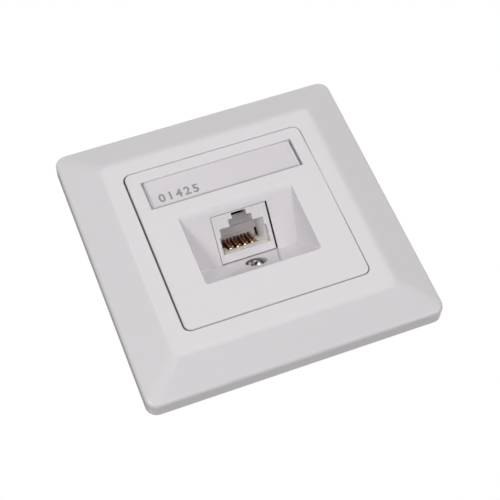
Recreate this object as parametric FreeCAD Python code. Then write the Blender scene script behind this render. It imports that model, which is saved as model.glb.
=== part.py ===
import FreeCAD, Part
import math
import os
from FreeCAD import Placement, Rotation, Vector

# Ethernet wall socket for a 60 mm wall box, in millimetres.
# Drafting axes: X to the right, Y up the wall, Z out of the wall, with Z = 0 on the wall.
# Finished pieces are turned so that Z points up the wall and the front faces -Y.

# Cover frame
frame_size = 80.0
frame_corner_radius = 3.0
frame_rim_height = 4.4
frame_rim_rounding = 1.1
front_height = 8.4
front_band_width = 5.2
slope_top_corner = 2.6
slope_top_rounding = 5.0
frame_wall = 2.0
ledge_top = 5.8
ledge_thickness = 1.8
ledge_width = 1.5
collar_wall = 1.6
collar_bottom = 2.3
frame_rib_thickness = 1.2
frame_rib_offset = 15.0

# Central plate
plate_size = 50.0
plate_corner_radius = 2.0
plate_side_gap = 0.33
plate_end_gap = 0.2
plate_shift = 0.2
plate_lift = 0.13
plate_skin = 2.2
plate_rim = 2.6
plate_edge_rounding = 0.35
ridge_y = 8.7
ridge_rise = 0.6
ridge_rounding = 25.0
skirt_clearance = 0.3
skirt_wall = 1.4
skirt_length = 30.0

# Plug recess in the plate: a slanted face that holds the socket, and a shelf below it
face_tilt = 44.0
face_y = -4.0
face_z = -1.85
shelf_drop = 0.165
shelf_tilt = 46.8
jack_shift = 0.34
recess_half_width = 15.75
recess_side_draft = 11.8
recess_wall = 1.6
recess_top_rounding = 3.0
recess_lip_rounding = 0.5
recess_side_rounding = 0.8
window_left_gap = 0.15
window_right_gap = 0.45
window_top_gap = 0.15
window_lip = 0.5
window_relief = 1.4

# Label
label_width = 42.8
label_height = 9.45
label_y = 16.72
label_left_gap = 0.75
label_right_gap = 0.6
label_low_gap = 0.22
label_top_gap = 0.05
label_card_margin = 0.1
label_card_thickness = 0.25
label_card_clearance = 0.06
label_cover_thickness = 0.4
label_bevel_width = 0.5
label_bevel_drop = 0.2
label_nub_radius = 0.5
label_nub_y = 0.7

# Plate screw and its seat
screw_y = -8.9
screw_hole_diameter = 5.8
screw_head_diameter = 5.3
screw_head_height = 1.9
screw_dome = 0.5
screw_seat_z = -0.9
screw_diameter = 3.0
screw_length = 8.0
screw_clearance = 0.4
screw_boss_diameter = 9.4
screw_boss_floor = 3.1
bush_wall = 0.8
bush_length = 6.0
bush_clearance = 0.05

# Steel support plate
support_edge_gap = 2.5
support_corner_radius = 7.0
support_thickness = 1.2
support_window_half_x = 18.4
support_window_half_y = 15.2
support_window_radius = 3.0
box_screw_spacing = 60.0
box_slot_width = 4.2
box_slot_length = 7.5
support_lip_height = 1.6
support_lip_inner = 4.6
support_lip_length = 8.4
support_lip_bend = 0.8
support_lip_relief = 0.8

# Moulded cradle behind the support plate
carrier_flange_thickness = 2.0
carrier_flange_half_x = 25.0
carrier_flange_top = 21.0
carrier_flange_bottom = -19.0
carrier_flange_radius = 28.5
cheek_inner = 18.1
cheek_wall = 1.9
cheek_bottom = -14.0
hood_gap = 0.65
hood_wall = 1.6
hood_slope_height = 6.9
cradle_tail_margin = 1.9
board_margin = 3.2
bar_top_gap = 0.3
bar_thickness = 2.5
bar_front_y = -5.0
tie_slot_width = 4.6
tie_slot_height = 2.0
tie_slot_x = 13.0
gusset_thickness = 1.5
gusset_reach = 3.6
gusset_depth = 8.0
rivet_x = 22.4
rivet_y = 12.5
rivet_diameter = 3.0
rivet_clearance = 0.05
rivet_head_diameter = 4.8
rivet_head_height = 0.7

# Circuit board and its seat in the cradle
board_half_width = 19.0
board_thickness = 1.6
board_front = -2.1
board_length = 22.9
board_slot_clearance = 0.1
board_end_clearance = 0.45
tail_hole_diameter = 0.9
peg_diameter = 2.4
peg_clearance = 0.1
peg_x = 6.3
peg_depth = -8.6
peg_length = 2.6

# Socket housing, in the axes of the slanted face: x, up the face, out of the face
housing_width = 15.3
housing_bottom = 0.02
housing_top = 13.05
housing_depth = 16.5
housing_edge = 0.25
port_bottom = 2.4
port_top = 9.4
port_width = 12.25
port_step = 7.2
port_low_width = 13.2
port_low_depth = 3.0
latch_top = 11.3
latch_width = 6.5
notch_top = 12.8
notch_width = 4.1
notch_depth = 4.0
latch_space_width = 7.4
back_wall_front = -11.0
back_wall_thickness = 1.4
back_wall_top = 9.7
back_wall_ledge = 6.9
back_wall_ledge_depth = 0.5
sill_depth = 1.3
side_latch_length = 3.0
side_latch_height = 1.6
side_latch_depth = -13.2
side_latch_up = 6.2

# Contact insert
insert_width = 11.9
insert_clearance = 0.15
insert_floor = 0.6
insert_top = 2.5
well_front = -4.0
well_side_margin = 0.4
well_end_slot = 0.9
back_block_top = 4.67
back_block_gap = 0.06
back_block_side_gap = 0.6
block_channel = 0.7
tip_slot_top = 4.05
tip_slot_depth = 1.2

# Spring contacts
contact_count = 8
contact_pitch = 1.016
contact_width = 0.46
contact_thickness = 0.3
contact_groove_clearance = 0.06
contact_run_height = 1.5
contact_bend_radius = 0.66
contact_bend_front = -5.0
contact_stagger = 2.0
contact_rise = 13.0
contact_reach = -9.4
contact_tip_length = 2.2
contact_tip_drop = 40.0
contact_tail_front = -13.2
contact_tail_step = 1.6
contact_tail_bend = 0.5
contact_tail_below = 0.8

# Terminal blocks and blades on the back of the board
idc_pitch = 3.9
idc_per_block = 4
idc_block_width = 15.8
idc_block_length = 8.4
idc_block_height = 12.0
idc_block_x = 9.0
idc_block_back = -24.0
idc_wire_slot = 1.3
idc_wire_depth = 6.0
idc_mouth_chamfer = 0.6
idc_blade_turn = 45.0
idc_blade_width = 3.6
idc_blade_thickness = 0.5
idc_blade_clearance = 0.08
idc_blade_length = 8.2
idc_blade_inset = 1.0
idc_slit_width = 0.45
idc_slit_depth = 5.0
idc_tail_width = 0.7
idc_tail_out = 0.9

x_axis = Vector(1, 0, 0)
y_axis = Vector(0, 1, 0)
z_axis = Vector(0, 0, 1)
slope_top_half = plate_size / 2 + front_band_width
support_size = frame_size - 2 * (frame_wall + support_edge_gap)
window_span = (-housing_width / 2 - window_left_gap, housing_width / 2 + window_right_gap)
window_height = housing_top + window_top_gap
bush_diameter = screw_diameter + 2 * bush_wall
back_block_width = port_width - 2 * back_block_side_gap
ledge_inner = plate_size / 2 - ledge_width
bar_top = screw_seat_z - screw_boss_floor - bar_top_gap
board_top = housing_bottom
board_bottom = board_top - board_thickness
tilt = math.radians(face_tilt)
shelf_lean = math.radians(shelf_tilt)
valley_y = face_y - shelf_drop * math.cos(tilt)
valley_z = face_z - shelf_drop * math.sin(tilt)
face_middle = Placement(Vector(0, face_y, face_z), Rotation(x_axis, face_tilt))
on_face = Placement(Vector(jack_shift, face_y, face_z), Rotation(x_axis, face_tilt))
in_plate = Placement(Vector(jack_shift - plate_shift, face_y, face_z), Rotation(x_axis, face_tilt))
to_row = Placement(Vector(0, 0, 0), Rotation(x_axis, 90))


def moved(shape, place):
    """A copy of a shape carried along by a placement."""
    copy = shape.copy()
    copy.Placement = place.multiply(copy.Placement)
    return copy


def save(name, shape, place=None):
    """Write one finished piece, put in its place and turned into the row's frame."""
    shape = shape.removeSplitter()
    if place is not None:
        shape = moved(shape, place)
    shape = moved(shape, to_row)
    shape.exportStep("parts/" + name + ".step")


def both(half):
    return (-half, half)


def around(middle, half):
    return (middle - half, middle + half)


def box(x_range, y_range, z_range):
    size = [pair[1] - pair[0] for pair in (x_range, y_range, z_range)]
    return Part.makeBox(*size, Vector(x_range[0], y_range[0], z_range[0]))


def rod(diameter, x, y, z_range):
    """A round bar along Z."""
    length = z_range[1] - z_range[0]
    return Part.makeCylinder(diameter / 2, length, Vector(x, y, z_range[0]), z_axis)


def upright_rod(diameter, x, y_range, z):
    """A round bar along Y."""
    length = y_range[1] - y_range[0]
    return Part.makeCylinder(diameter / 2, length, Vector(x, y_range[0], z), y_axis)


def outline(half_x, half_y, radius, z):
    """A rounded rectangle about the Z axis, as a closed wire."""
    arcs = []
    for sign_x, sign_y, start in ((1, 1, 0), (-1, 1, 90), (-1, -1, 180), (1, -1, 270)):
        centre = Vector(sign_x * (half_x - radius), sign_y * (half_y - radius), z)
        arcs.append(Part.makeCircle(radius, centre, z_axis, start, start + 90))
    edges = []
    for arc, following in zip(arcs, arcs[1:] + arcs[:1]):
        leave = arc.valueAt(arc.LastParameter)
        enter = following.valueAt(following.FirstParameter)
        edges.append(arc)
        edges.append(Part.makeLine(leave, enter))
    return Part.Wire(edges)


def prism(half_x, half_y, radius, z_range):
    """An upright block with rounded corners."""
    face = Part.Face(outline(half_x, half_y, radius, z_range[0]))
    return face.extrude(Vector(0, 0, z_range[1] - z_range[0]))


def rounded_path(corners, to_space):
    """A closed wire through (a, b, radius) corners, each rounded by its own radius."""
    points = [Vector(corner[0], corner[1], 0) for corner in corners]
    turns = []
    for index, corner in enumerate(corners):
        here = points[index]
        radius = corner[2]
        if radius == 0:
            turns.append((here, None, here))
            continue
        back = (points[index - 1] - here).normalize()
        ahead = (points[(index + 1) % len(points)] - here).normalize()
        half_angle = back.getAngle(ahead) / 2
        reach = radius / math.tan(half_angle)
        inward = (back + ahead).normalize()
        middle = here + inward * (radius / math.sin(half_angle) - radius)
        turns.append((here + back * reach, middle, here + ahead * reach))
    edges = []
    for turn, following in zip(turns, turns[1:] + turns[:1]):
        if turn[1] is not None:
            arc = Part.Arc(to_space(turn[0]), to_space(turn[1]), to_space(turn[2]))
            edges.append(arc.toShape())
        if turn[2].distanceToPoint(following[0]) > 1e-6:
            edges.append(Part.makeLine(to_space(turn[2]), to_space(following[0])))
    return Part.Wire(edges)


def side_form(corners, x_range):
    """A profile drawn in side view, (y, z, radius), and drawn out along X."""
    wire = rounded_path(corners, lambda point: Vector(x_range[0], point.x, point.y))
    return Part.Face(wire).extrude(Vector(x_range[1] - x_range[0], 0, 0))


def top_form(corners, y_range):
    """A profile drawn in top view, (x, z, radius), and drawn out along Y."""
    wire = rounded_path(corners, lambda point: Vector(point.x, y_range[0], point.y))
    return Part.Face(wire).extrude(Vector(0, y_range[1] - y_range[0], 0))


def at_level(shape, z):
    """The edges of a shape that lie flat at one height."""
    found = []
    for edge in shape.Edges:
        if abs(edge.BoundBox.ZMin - z) < 1e-4 and abs(edge.BoundBox.ZMax - z) < 1e-4:
            found.append(edge)
    return found


def turned(shape, degrees):
    return moved(shape, Placement(Vector(0, 0, 0), Rotation(z_axis, degrees)))


def mirrored(shape):
    return shape.mirror(Vector(0, 0, 0), x_axis)


def plate_front(y):
    """Height of the plate's front, two shallow slopes that meet at the ridge."""
    half = plate_size / 2
    run = half - ridge_y if y > ridge_y else half + ridge_y
    return front_height + ridge_rise * (half - y if y > ridge_y else half + y) / run


def make_cover_frame():
    half = frame_size / 2
    opening_x = plate_size / 2 + plate_side_gap
    opening_y = plate_size / 2 + plate_end_gap
    opening_corner = plate_corner_radius + plate_end_gap
    collar = max(opening_x, opening_y) + collar_wall
    rise = (front_height - frame_rim_height) / (half - slope_top_half)
    drop = frame_wall * math.sqrt(1 + rise * rise)
    inner = half - frame_wall
    inner_rim = frame_rim_height + frame_wall * rise - drop
    inner_corner = frame_corner_radius * 0.5

    body = prism(half, half, frame_corner_radius, (0, frame_rim_height))
    slope_foot = outline(half, half, frame_corner_radius, frame_rim_height)
    slope_head = outline(slope_top_half, slope_top_half, slope_top_corner, front_height)
    body = body.fuse(Part.makeLoft([slope_foot, slope_head], True, True)).removeSplitter()
    body = body.makeFillet(frame_rim_rounding, at_level(body, frame_rim_height))
    body = body.makeFillet(slope_top_rounding, at_level(body, front_height))

    hollow_foot = outline(inner, inner, inner_corner, inner_rim)
    hollow_head = outline(slope_top_half, slope_top_half, inner_corner, front_height - drop)
    hollow = prism(inner, inner, inner_corner, (-1, inner_rim))
    hollow = hollow.fuse(Part.makeLoft([hollow_foot, hollow_head], True, True))

    ribs = []
    for offset in (-frame_rib_offset, frame_rib_offset):
        web = around(offset, frame_rib_thickness / 2)
        rib = box((opening_x, inner + 0.5), web, (collar_bottom, front_height - 1))
        ribs.extend(turned(rib, quarter * 90) for quarter in range(4))
    ribs = [rib.common(body) for rib in ribs]

    shell = body.cut(hollow)
    shell = shell.fuse([prism(collar, collar, opening_corner, (collar_bottom, front_height - 1))] + ribs)
    ledge_bottom = ledge_top - ledge_thickness
    shell = shell.cut(prism(opening_x, opening_y, opening_corner, (ledge_top, front_height + 1)))
    shell = shell.cut(prism(ledge_inner, ledge_inner, 1.0, (ledge_bottom - 1, ledge_top + 1)))
    return shell.cut(prism(opening_x, opening_y, opening_corner, (-1, ledge_bottom)))


def recess_sides(wall):
    """The drafted space between the recess's two side walls, moved out by a wall."""
    slope = math.tan(math.radians(recess_side_draft))
    low = valley_z - 12
    high = front_height + 6
    wide = [recess_half_width + wall + (z - front_height) * slope for z in (low, high)]
    corners = [(-wide[0], low, 0), (wide[0], low, 0), (wide[1], high, 0), (-wide[1], high, 0)]
    return top_form(corners, both(plate_size / 2))


def make_recess():
    """The empty space of the plug recess, with the soft brow and lip at its mouth."""
    half = plate_size / 2
    lean = ridge_rise / (half + ridge_y)
    base = front_height + lean * half
    steep = math.tan(tilt)
    climb = math.tan(shelf_lean)
    brow_y = (base - valley_z + valley_y * steep) / (steep - lean)
    lip_y = (valley_z + valley_y * climb - base) / (lean + climb)
    brow_end = brow_y + 4
    lip_end = lip_y - 2
    high = front_height + 4
    corners = [
        (valley_y, valley_z, 0),
        (brow_y, plate_front(brow_y), recess_top_rounding),
        (brow_end, base + lean * brow_end + 0.01, 0),
        (brow_end, high, 0),
        (lip_end, high, 0),
        (lip_end, base + lean * lip_end + 0.01, 0),
        (lip_y, plate_front(lip_y), recess_lip_rounding),
    ]
    space = side_form(corners, both(half)).common(recess_sides(0))
    sides = []
    for edge in space.Edges:
        reach = edge.BoundBox
        if reach.ZMin < valley_z + 0.01 < reach.ZMax:
            sides.append(edge)
    return space.makeFillet(recess_side_rounding, sides)


def make_recess_back():
    """The moulded back of the recess: the same V, one wall further out."""
    spread = recess_wall / math.sin(tilt + shelf_lean)
    back_y = valley_y - spread * (math.cos(tilt) - math.cos(shelf_lean))
    back_z = valley_z - spread * (math.sin(tilt) + math.sin(shelf_lean))
    depth = front_height - 1 - back_z
    corners = [
        (back_y, back_z, 0.8),
        (back_y + depth / math.tan(tilt), back_z + depth, 0),
        (back_y - depth / math.tan(shelf_lean), back_z + depth, 0),
    ]
    return side_form(corners, both(plate_size / 2)).common(recess_sides(recess_wall))


def make_central_plate():
    half = plate_size / 2
    corners = [
        (-half, ledge_top, 0),
        (half, ledge_top, 0),
        (half, front_height, 0),
        (ridge_y, front_height + ridge_rise, ridge_rounding),
        (-half, front_height, 0),
    ]
    blank = side_form(corners, both(half))
    blank = blank.common(prism(half, half, plate_corner_radius, (0, front_height + 5)))
    rim_edges = []
    for edge in blank.Edges:
        middle = edge.BoundBox.Center
        outward = max(abs(middle.x), abs(middle.y))
        if middle.z > front_height - 0.1 and outward > half - plate_corner_radius:
            rim_edges.append(edge)
    blank = blank.makeFillet(plate_edge_rounding, rim_edges)
    blank.translate(Vector(0, plate_lift, 0))
    inside = half - plate_rim
    blank = blank.cut(prism(inside, inside, 1.0, (0, front_height - plate_skin)))

    skirt_outer = ledge_inner - skirt_clearance
    skirt_height = (collar_bottom, front_height - 1)
    skirt = box((skirt_outer - skirt_wall, skirt_outer), both(skirt_length / 2), skirt_height)
    pieces = [turned(skirt, quarter * 90) for quarter in range(4)]
    pieces.append(make_recess_back())
    boss_bottom = screw_seat_z - screw_boss_floor
    boss = rod(screw_boss_diameter, 0, screw_y, (boss_bottom, front_height - 1))
    pieces.append(boss)
    plate = blank.fuse(pieces)

    plate = plate.cut(make_recess())
    window = box(window_span, (-shelf_drop, window_height), (-3 * recess_wall, 0.6))
    relief_span = (window_span[0] - window_relief, window_span[1] + window_relief)
    relief = box(relief_span, (-shelf_drop, window_height), (-3 * recess_wall, -window_lip))
    plate = plate.cut([moved(window, in_plate), moved(relief, in_plate)])
    plate = plate.cut(rod(screw_hole_diameter, 0, screw_y, (screw_seat_z, front_height + 3)))
    shank_hole = (boss_bottom - 1, screw_seat_z + 1)
    plate = plate.cut(rod(screw_diameter + screw_clearance, 0, screw_y, shank_hole))
    label_depth = label_card_thickness + label_card_clearance + label_cover_thickness
    half = label_width / 2
    pocket = box(both(half), both(label_height / 2), (-label_depth, 2))
    lift_slots = [
        box((-half, -half + label_left_gap), both(label_height / 2), (-2 * plate_skin, 0)),
        box((half - label_right_gap, half), both(label_height / 2), (-2 * plate_skin, 0)),
    ]
    return plate.cut([moved(space, on_label) for space in [pocket] + lift_slots])


def make_label_card():
    x_range = (-label_width / 2 + label_left_gap, label_width / 2 - label_right_gap)
    low = -label_height / 2 + label_low_gap + label_card_margin
    high = label_height / 2 - label_top_gap - label_card_margin
    return box(x_range, (low, high), (-label_card_thickness, 0))


def make_label_cover():
    x_range = (-label_width / 2 + label_left_gap, label_width / 2 - label_right_gap)
    low = -label_height / 2 + label_low_gap
    high = label_height / 2 - label_top_gap
    corners = [
        (low, 0, 0),
        (high, 0, 0),
        (high, label_cover_thickness - label_bevel_drop, 0),
        (high - label_bevel_width, label_cover_thickness, 0),
        (low, label_cover_thickness, 0.15),
    ]
    cover = side_form(corners, x_range)
    nub = rod(2 * label_nub_radius, x_range[1], label_nub_y, (0, label_cover_thickness))
    return cover.fuse(nub)


def make_plate_screw():
    radius = screw_head_diameter / 2
    rim = screw_head_height - screw_dome
    shank = screw_diameter / 2
    flank = Part.makePolygon([
        Vector(radius, 0, rim),
        Vector(radius, 0, 0),
        Vector(shank, 0, 0),
        Vector(shank, 0, -screw_length),
        Vector(0, 0, -screw_length),
        Vector(0, 0, screw_head_height),
    ])
    crown_middle = Vector(radius * 0.6, 0, rim + screw_dome * 0.72)
    crown = Part.Arc(Vector(0, 0, screw_head_height), crown_middle, Vector(radius, 0, rim)).toShape()
    face = Part.Face(Part.Wire(flank.Edges + [crown]))
    return face.revolve(Vector(0, 0, 0), z_axis, 360)


def make_threaded_insert():
    top = bar_top
    bush = rod(bush_diameter, 0, screw_y, (top - bush_length, top))
    bore = (top - bush_length - 1, top + 1)
    bush = bush.cut(rod(screw_diameter + 2 * bush_clearance, 0, screw_y, bore))
    waist = rod(bush_diameter + 1, 0, screw_y, around(top - bush_length / 2, 0.5))
    waist = waist.cut(rod(bush_diameter - 0.5, 0, screw_y, around(top - bush_length / 2, 1)))
    return bush.cut(waist)


def make_support_plate():
    half = support_size / 2
    sheet = prism(half, half, support_corner_radius, (0, support_thickness))
    through = (-1, support_thickness + 1)
    window = prism(support_window_half_x, support_window_half_y, support_window_radius, through)
    sheet = sheet.cut(window)
    slot = prism(box_slot_length / 2, box_slot_width / 2, box_slot_width / 2 - 1e-4, through)
    slot.translate(Vector(box_screw_spacing / 2, 0, 0))
    sheet = sheet.cut([turned(slot, quarter * 90) for quarter in range(4)])
    for x in (-rivet_x, rivet_x):
        for y in (-rivet_y, rivet_y):
            sheet = sheet.cut(rod(rivet_diameter + 2 * rivet_clearance, x, y, through))
    lip_top = support_thickness + support_lip_height
    outer_bend = support_lip_bend + support_thickness
    corners = [
        (half - 2 * outer_bend, 0, 0),
        (half, 0, outer_bend),
        (half, lip_top, 0),
        (half - support_thickness, lip_top, 0),
        (half - support_thickness, support_thickness, support_lip_bend),
        (half - 2 * outer_bend, support_thickness, 0),
    ]
    lip_span = (support_lip_inner, support_lip_inner + support_lip_length)
    lip = side_form(corners, lip_span)
    edge_span = (lip_span[0] - support_lip_relief, lip_span[1] + support_lip_relief)
    edge = box(edge_span, (half - 2 * outer_bend, half + 1), through)
    for half_turn in (0, 180):
        for side in (lambda shape: shape, mirrored):
            sheet = sheet.cut(turned(side(edge), half_turn)).fuse(turned(side(lip), half_turn))
    return sheet


def make_carrier_rivets():
    shank = (-carrier_flange_thickness, support_thickness)
    rivets = []
    for x in (-rivet_x, rivet_x):
        for y in (-rivet_y, rivet_y):
            rivet = rod(rivet_diameter, x, y, shank)
            rivet = rivet.fuse(rod(rivet_head_diameter, x, y, (shank[1], shank[1] + rivet_head_height)))
            rivet = rivet.fuse(rod(rivet_head_diameter, x, y, (shank[0] - rivet_head_height, shank[0])))
            rivets.append(rivet.removeSplitter())
    return Part.makeCompound(rivets)


def face_point(up, out):
    """Side-view position (y, z) of a point given in the axes of the slanted face."""
    y = face_y + up * math.cos(tilt) - out * math.sin(tilt)
    z = face_z + up * math.sin(tilt) + out * math.cos(tilt)
    return y, z


def make_jack_carrier():
    outer = cheek_inner + cheek_wall
    flange_middle = (carrier_flange_top + carrier_flange_bottom) / 2
    flange_half_y = (carrier_flange_top - carrier_flange_bottom) / 2
    flange = prism(carrier_flange_half_x, flange_half_y, 3.0, (-carrier_flange_thickness, 0))
    flange.translate(Vector(0, flange_middle, 0))
    flange = flange.common(rod(2 * carrier_flange_radius, 0, 0, (-carrier_flange_thickness, 0)))
    window = box(both(cheek_inner), both(support_window_half_y), (-carrier_flange_thickness - 1, 1))
    flange = flange.cut(window)

    bar_bottom = bar_top - bar_thickness
    hood_top = face_point(housing_top, -housing_depth)[0] + hood_gap + hood_wall
    board_end = face_point(board_top, board_front - board_length)
    cradle_tail_y = board_end[0] + cradle_tail_margin / 2
    cradle_tail_z = board_end[1] - cradle_tail_margin
    hood_depth = -cradle_tail_z - hood_slope_height
    tail = face_point(board_bottom - board_margin, board_front - board_length - 1)
    knee = face_point(board_bottom - board_margin, -3.0)
    cheek_corners = [
        (cheek_bottom, -1, 0),
        (hood_top, -1, 0),
        (hood_top, -hood_depth, 4),
        (cradle_tail_y, cradle_tail_z, 2),
        (tail[0], tail[1], 1.5),
        (knee[0], knee[1], 3),
        (knee[0] - 1, bar_bottom, 1),
        (cheek_bottom, bar_bottom, 2),
    ]
    cheek = side_form(cheek_corners, (cheek_inner, outer))
    slot_range = (board_front - board_length - board_slot_clearance, board_front + board_slot_clearance)
    slot_height = (board_bottom - board_slot_clearance, board_top + board_slot_clearance)
    slot = box((0, board_half_width + board_end_clearance), slot_height, slot_range)
    cheek = cheek.cut(moved(slot, face_middle))

    hood_corners = [
        (hood_top, -1, 0),
        (hood_top, -hood_depth, 4),
        (cradle_tail_y, cradle_tail_z, 0),
        (cradle_tail_y - hood_wall * 0.8, cradle_tail_z + hood_wall * 0.6, 0),
        (hood_top - hood_wall, -hood_depth + hood_wall * 0.4, 4 - hood_wall),
        (hood_top - hood_wall, -1, 0),
    ]
    hood = side_form(hood_corners, both(outer))
    bar = box(both(outer), (cheek_bottom, bar_front_y), (bar_bottom, bar_top))
    for x in (-tie_slot_x, tie_slot_x):
        tie_reach = around(cheek_bottom + 3.0, tie_slot_height / 2)
        bar = bar.cut(box(around(x, tie_slot_width / 2), tie_reach, (bar_bottom - 1, bar_top + 1)))
    boss = rod(bush_diameter + 3.6, 0, screw_y, (bar_top - bush_length - 1.2, bar_top))

    gusset = top_form([
        (outer - 0.2, -carrier_flange_thickness + 0.2, 0),
        (outer + gusset_reach, -carrier_flange_thickness + 0.2, 0),
        (outer - 0.2, -carrier_flange_thickness - gusset_depth, 0),
    ], both(gusset_thickness / 2))
    gussets = []
    for y in (-6.0, 6.0):
        gusset_here = gusset.copy()
        gusset_here.translate(Vector(0, y, 0))
        gussets.extend([gusset_here, mirrored(gusset_here)])
    carrier = flange.fuse([cheek, mirrored(cheek), hood, bar, boss] + gussets)
    bush_end = bar_top - bush_length
    bush_seat = rod(bush_diameter + 2 * bush_clearance, 0, screw_y, (bush_end, bar_top + 1))
    shank_hole = rod(screw_diameter + screw_clearance, 0, screw_y, (bush_end - 3, bar_top))
    carrier = carrier.cut([bush_seat, shank_hole])
    for x in (-rivet_x, rivet_x):
        for y in (-rivet_y, rivet_y):
            hole = rod(rivet_diameter + 2 * rivet_clearance, x, y, (-carrier_flange_thickness - 1, 1))
            carrier = carrier.cut(hole)
    return carrier


def contact_x(index):
    return (index - (contact_count - 1) / 2) * contact_pitch


def contact_tail(index):
    return contact_tail_front - (index % 2) * contact_tail_step


def contact_bend(index):
    return contact_bend_front - (index % 2) * contact_stagger


def blade_places():
    places = []
    for side in (-1, 1):
        for index in range(idc_per_block):
            places.append(side * idc_block_x + (index - (idc_per_block - 1) / 2) * idc_pitch)
    return places


def make_circuit_board():
    span = (board_bottom, board_top)
    through = (board_bottom - 1, board_top + 1)
    board = box(both(board_half_width), span, (board_front - board_length, board_front))
    for index in range(contact_count):
        tail = contact_tail(index)
        board = board.cut(upright_rod(tail_hole_diameter, contact_x(index), through, tail))
    for x in (-peg_x, peg_x):
        board = board.cut(upright_rod(peg_diameter + 2 * peg_clearance, x, through, peg_depth))
    across = idc_block_back + idc_block_length / 2
    for x in blade_places():
        board = board.cut(upright_rod(idc_tail_width * 1.7, x, through, across))
    return board


def make_jack_housing():
    through = (-housing_depth - 1, 1)
    block = box(both(housing_width / 2), (housing_bottom, housing_top), (-housing_depth, -0.05))
    front_edges = at_level(block, -0.05)
    block = block.makeFillet(housing_edge, front_edges)
    block = block.cut(box(both(port_width / 2), (port_bottom, port_top), through))
    block = block.cut(box(both(port_low_width / 2), (port_bottom, port_step), (-port_low_depth, 1)))
    block = block.cut(box(both(latch_width / 2), (port_step, latch_top), through))
    block = block.cut(box(both(notch_width / 2), (port_step, notch_top), (-notch_depth, 1)))
    latch_space = (through[0], -notch_depth)
    block = block.cut(box(both(latch_space_width / 2), (port_step, housing_top + 1), latch_space))
    floor_half = insert_width / 2 + insert_clearance
    block = block.cut(box(both(floor_half), (housing_bottom - 1, port_step), (through[0], -sill_depth)))
    latch_height = around(side_latch_up, side_latch_height / 2)
    latch_reach = around(side_latch_depth, side_latch_length / 2)
    block = block.cut(box(both(housing_width), latch_height, latch_reach))
    wall_low = back_block_top + back_block_gap
    channel_half = port_width / 2 + block_channel
    block = block.cut(box(both(channel_half), (port_bottom, wall_low), (through[0], back_wall_front)))
    pegs = []
    for x in (-peg_x, peg_x):
        peg = upright_rod(peg_diameter, x, (housing_bottom - peg_length, port_bottom - 0.5), peg_depth)
        pegs.append(peg.cut(box(both(floor_half), (housing_bottom, port_top), through)))
    wall_depth = (back_wall_front - back_wall_thickness, back_wall_front)
    back_wall = box(both(port_width / 2), (wall_low, back_wall_top), wall_depth)
    ledge_depth = (back_wall_front - back_wall_ledge_depth, back_wall_front)
    ledge_cut = box(both(port_width / 2), (back_wall_ledge, back_wall_top), ledge_depth)
    return block.fuse(pegs + [back_wall.cut(ledge_cut)])


def make_contact_insert():
    front = -sill_depth - insert_clearance
    back = -housing_depth + insert_clearance
    half = insert_width / 2
    block = box(both(half), (housing_bottom, insert_top), (back, front))
    block_height = (housing_bottom, back_block_top)
    block = block.fuse(box(both(back_block_width / 2), block_height, (back, back_wall_front)))
    groove_half = contact_width / 2 + contact_groove_clearance
    groove_floor = contact_run_height - contact_thickness / 2
    cover_height = contact_run_height + contact_thickness
    well_half = contact_x(contact_count - 1) + groove_half + well_side_margin
    well_depth = (back_wall_front, well_front)
    block = block.cut(box(both(well_half), (insert_floor, insert_top + 1), well_depth))
    well_end = well_half + well_end_slot
    for x_range in ((-well_end, -well_half), (well_half, well_end)):
        block = block.cut(box(x_range, (housing_bottom - 1, insert_top + 1), well_depth))
    tip_slot_back = back_wall_front - tip_slot_depth
    for index in range(contact_count):
        across = around(contact_x(index), groove_half)
        tail = contact_tail(index)
        tail_back = tail - contact_thickness / 2 - contact_groove_clearance
        tip_height = (cover_height - 0.01, tip_slot_top)
        tail_height = (housing_bottom - 1, cover_height)
        block = block.cut([
            box(across, tip_height, (tip_slot_back, back_wall_front + 1)),
            box(across, (groove_floor, cover_height), (tail_back, back_wall_front + 1)),
            box(across, tail_height, (tail_back, tail + contact_tail_bend)),
        ])
    return block


def make_contact(index):
    """One spring contact: a strip bent from its solder tail to its free tip."""
    tail = contact_tail(index)
    bend = contact_bend(index)
    run = contact_run_height
    rise = math.radians(contact_rise)
    dip = math.radians(contact_rise - contact_tip_drop)
    turn = contact_bend_radius
    corner = contact_tail_bend
    centre = run + turn
    shoulder = (centre + turn * math.cos(rise), bend + turn * math.sin(rise))
    knee_out = contact_reach
    knee_up = shoulder[0] + (shoulder[1] - knee_out) * math.tan(rise)
    tip_up = knee_up + contact_tip_length * math.sin(dip)
    tip_out = knee_out - contact_tip_length * math.cos(dip)

    def spot(up, out):
        return Vector(0, up, out)

    middle = math.sqrt(0.5) * corner
    edges = [
        Part.makeLine(spot(board_bottom - contact_tail_below, tail), spot(run - corner, tail)),
        Part.Arc(
            spot(run - corner, tail),
            spot(run - corner + middle, tail + corner - middle),
            spot(run, tail + corner),
        ).toShape(),
        Part.makeLine(spot(run, tail + corner), spot(run, bend)),
        Part.Arc(spot(run, bend), spot(centre, bend + turn), spot(*shoulder)).toShape(),
        Part.makeLine(spot(*shoulder), spot(knee_up, knee_out)),
        Part.makeLine(spot(knee_up, knee_out), spot(tip_up, tip_out)),
    ]
    strip = Part.Wire(edges).makeOffset2D(contact_thickness / 2)
    solid = Part.Face(strip).extrude(Vector(contact_width, 0, 0))
    solid.translate(Vector(contact_x(index) - contact_width / 2, 0, 0))
    return solid


def about_upright(shape, x, z, degrees):
    return moved(shape, Placement(Vector(x, 0, z), Rotation(y_axis, degrees)))


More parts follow.
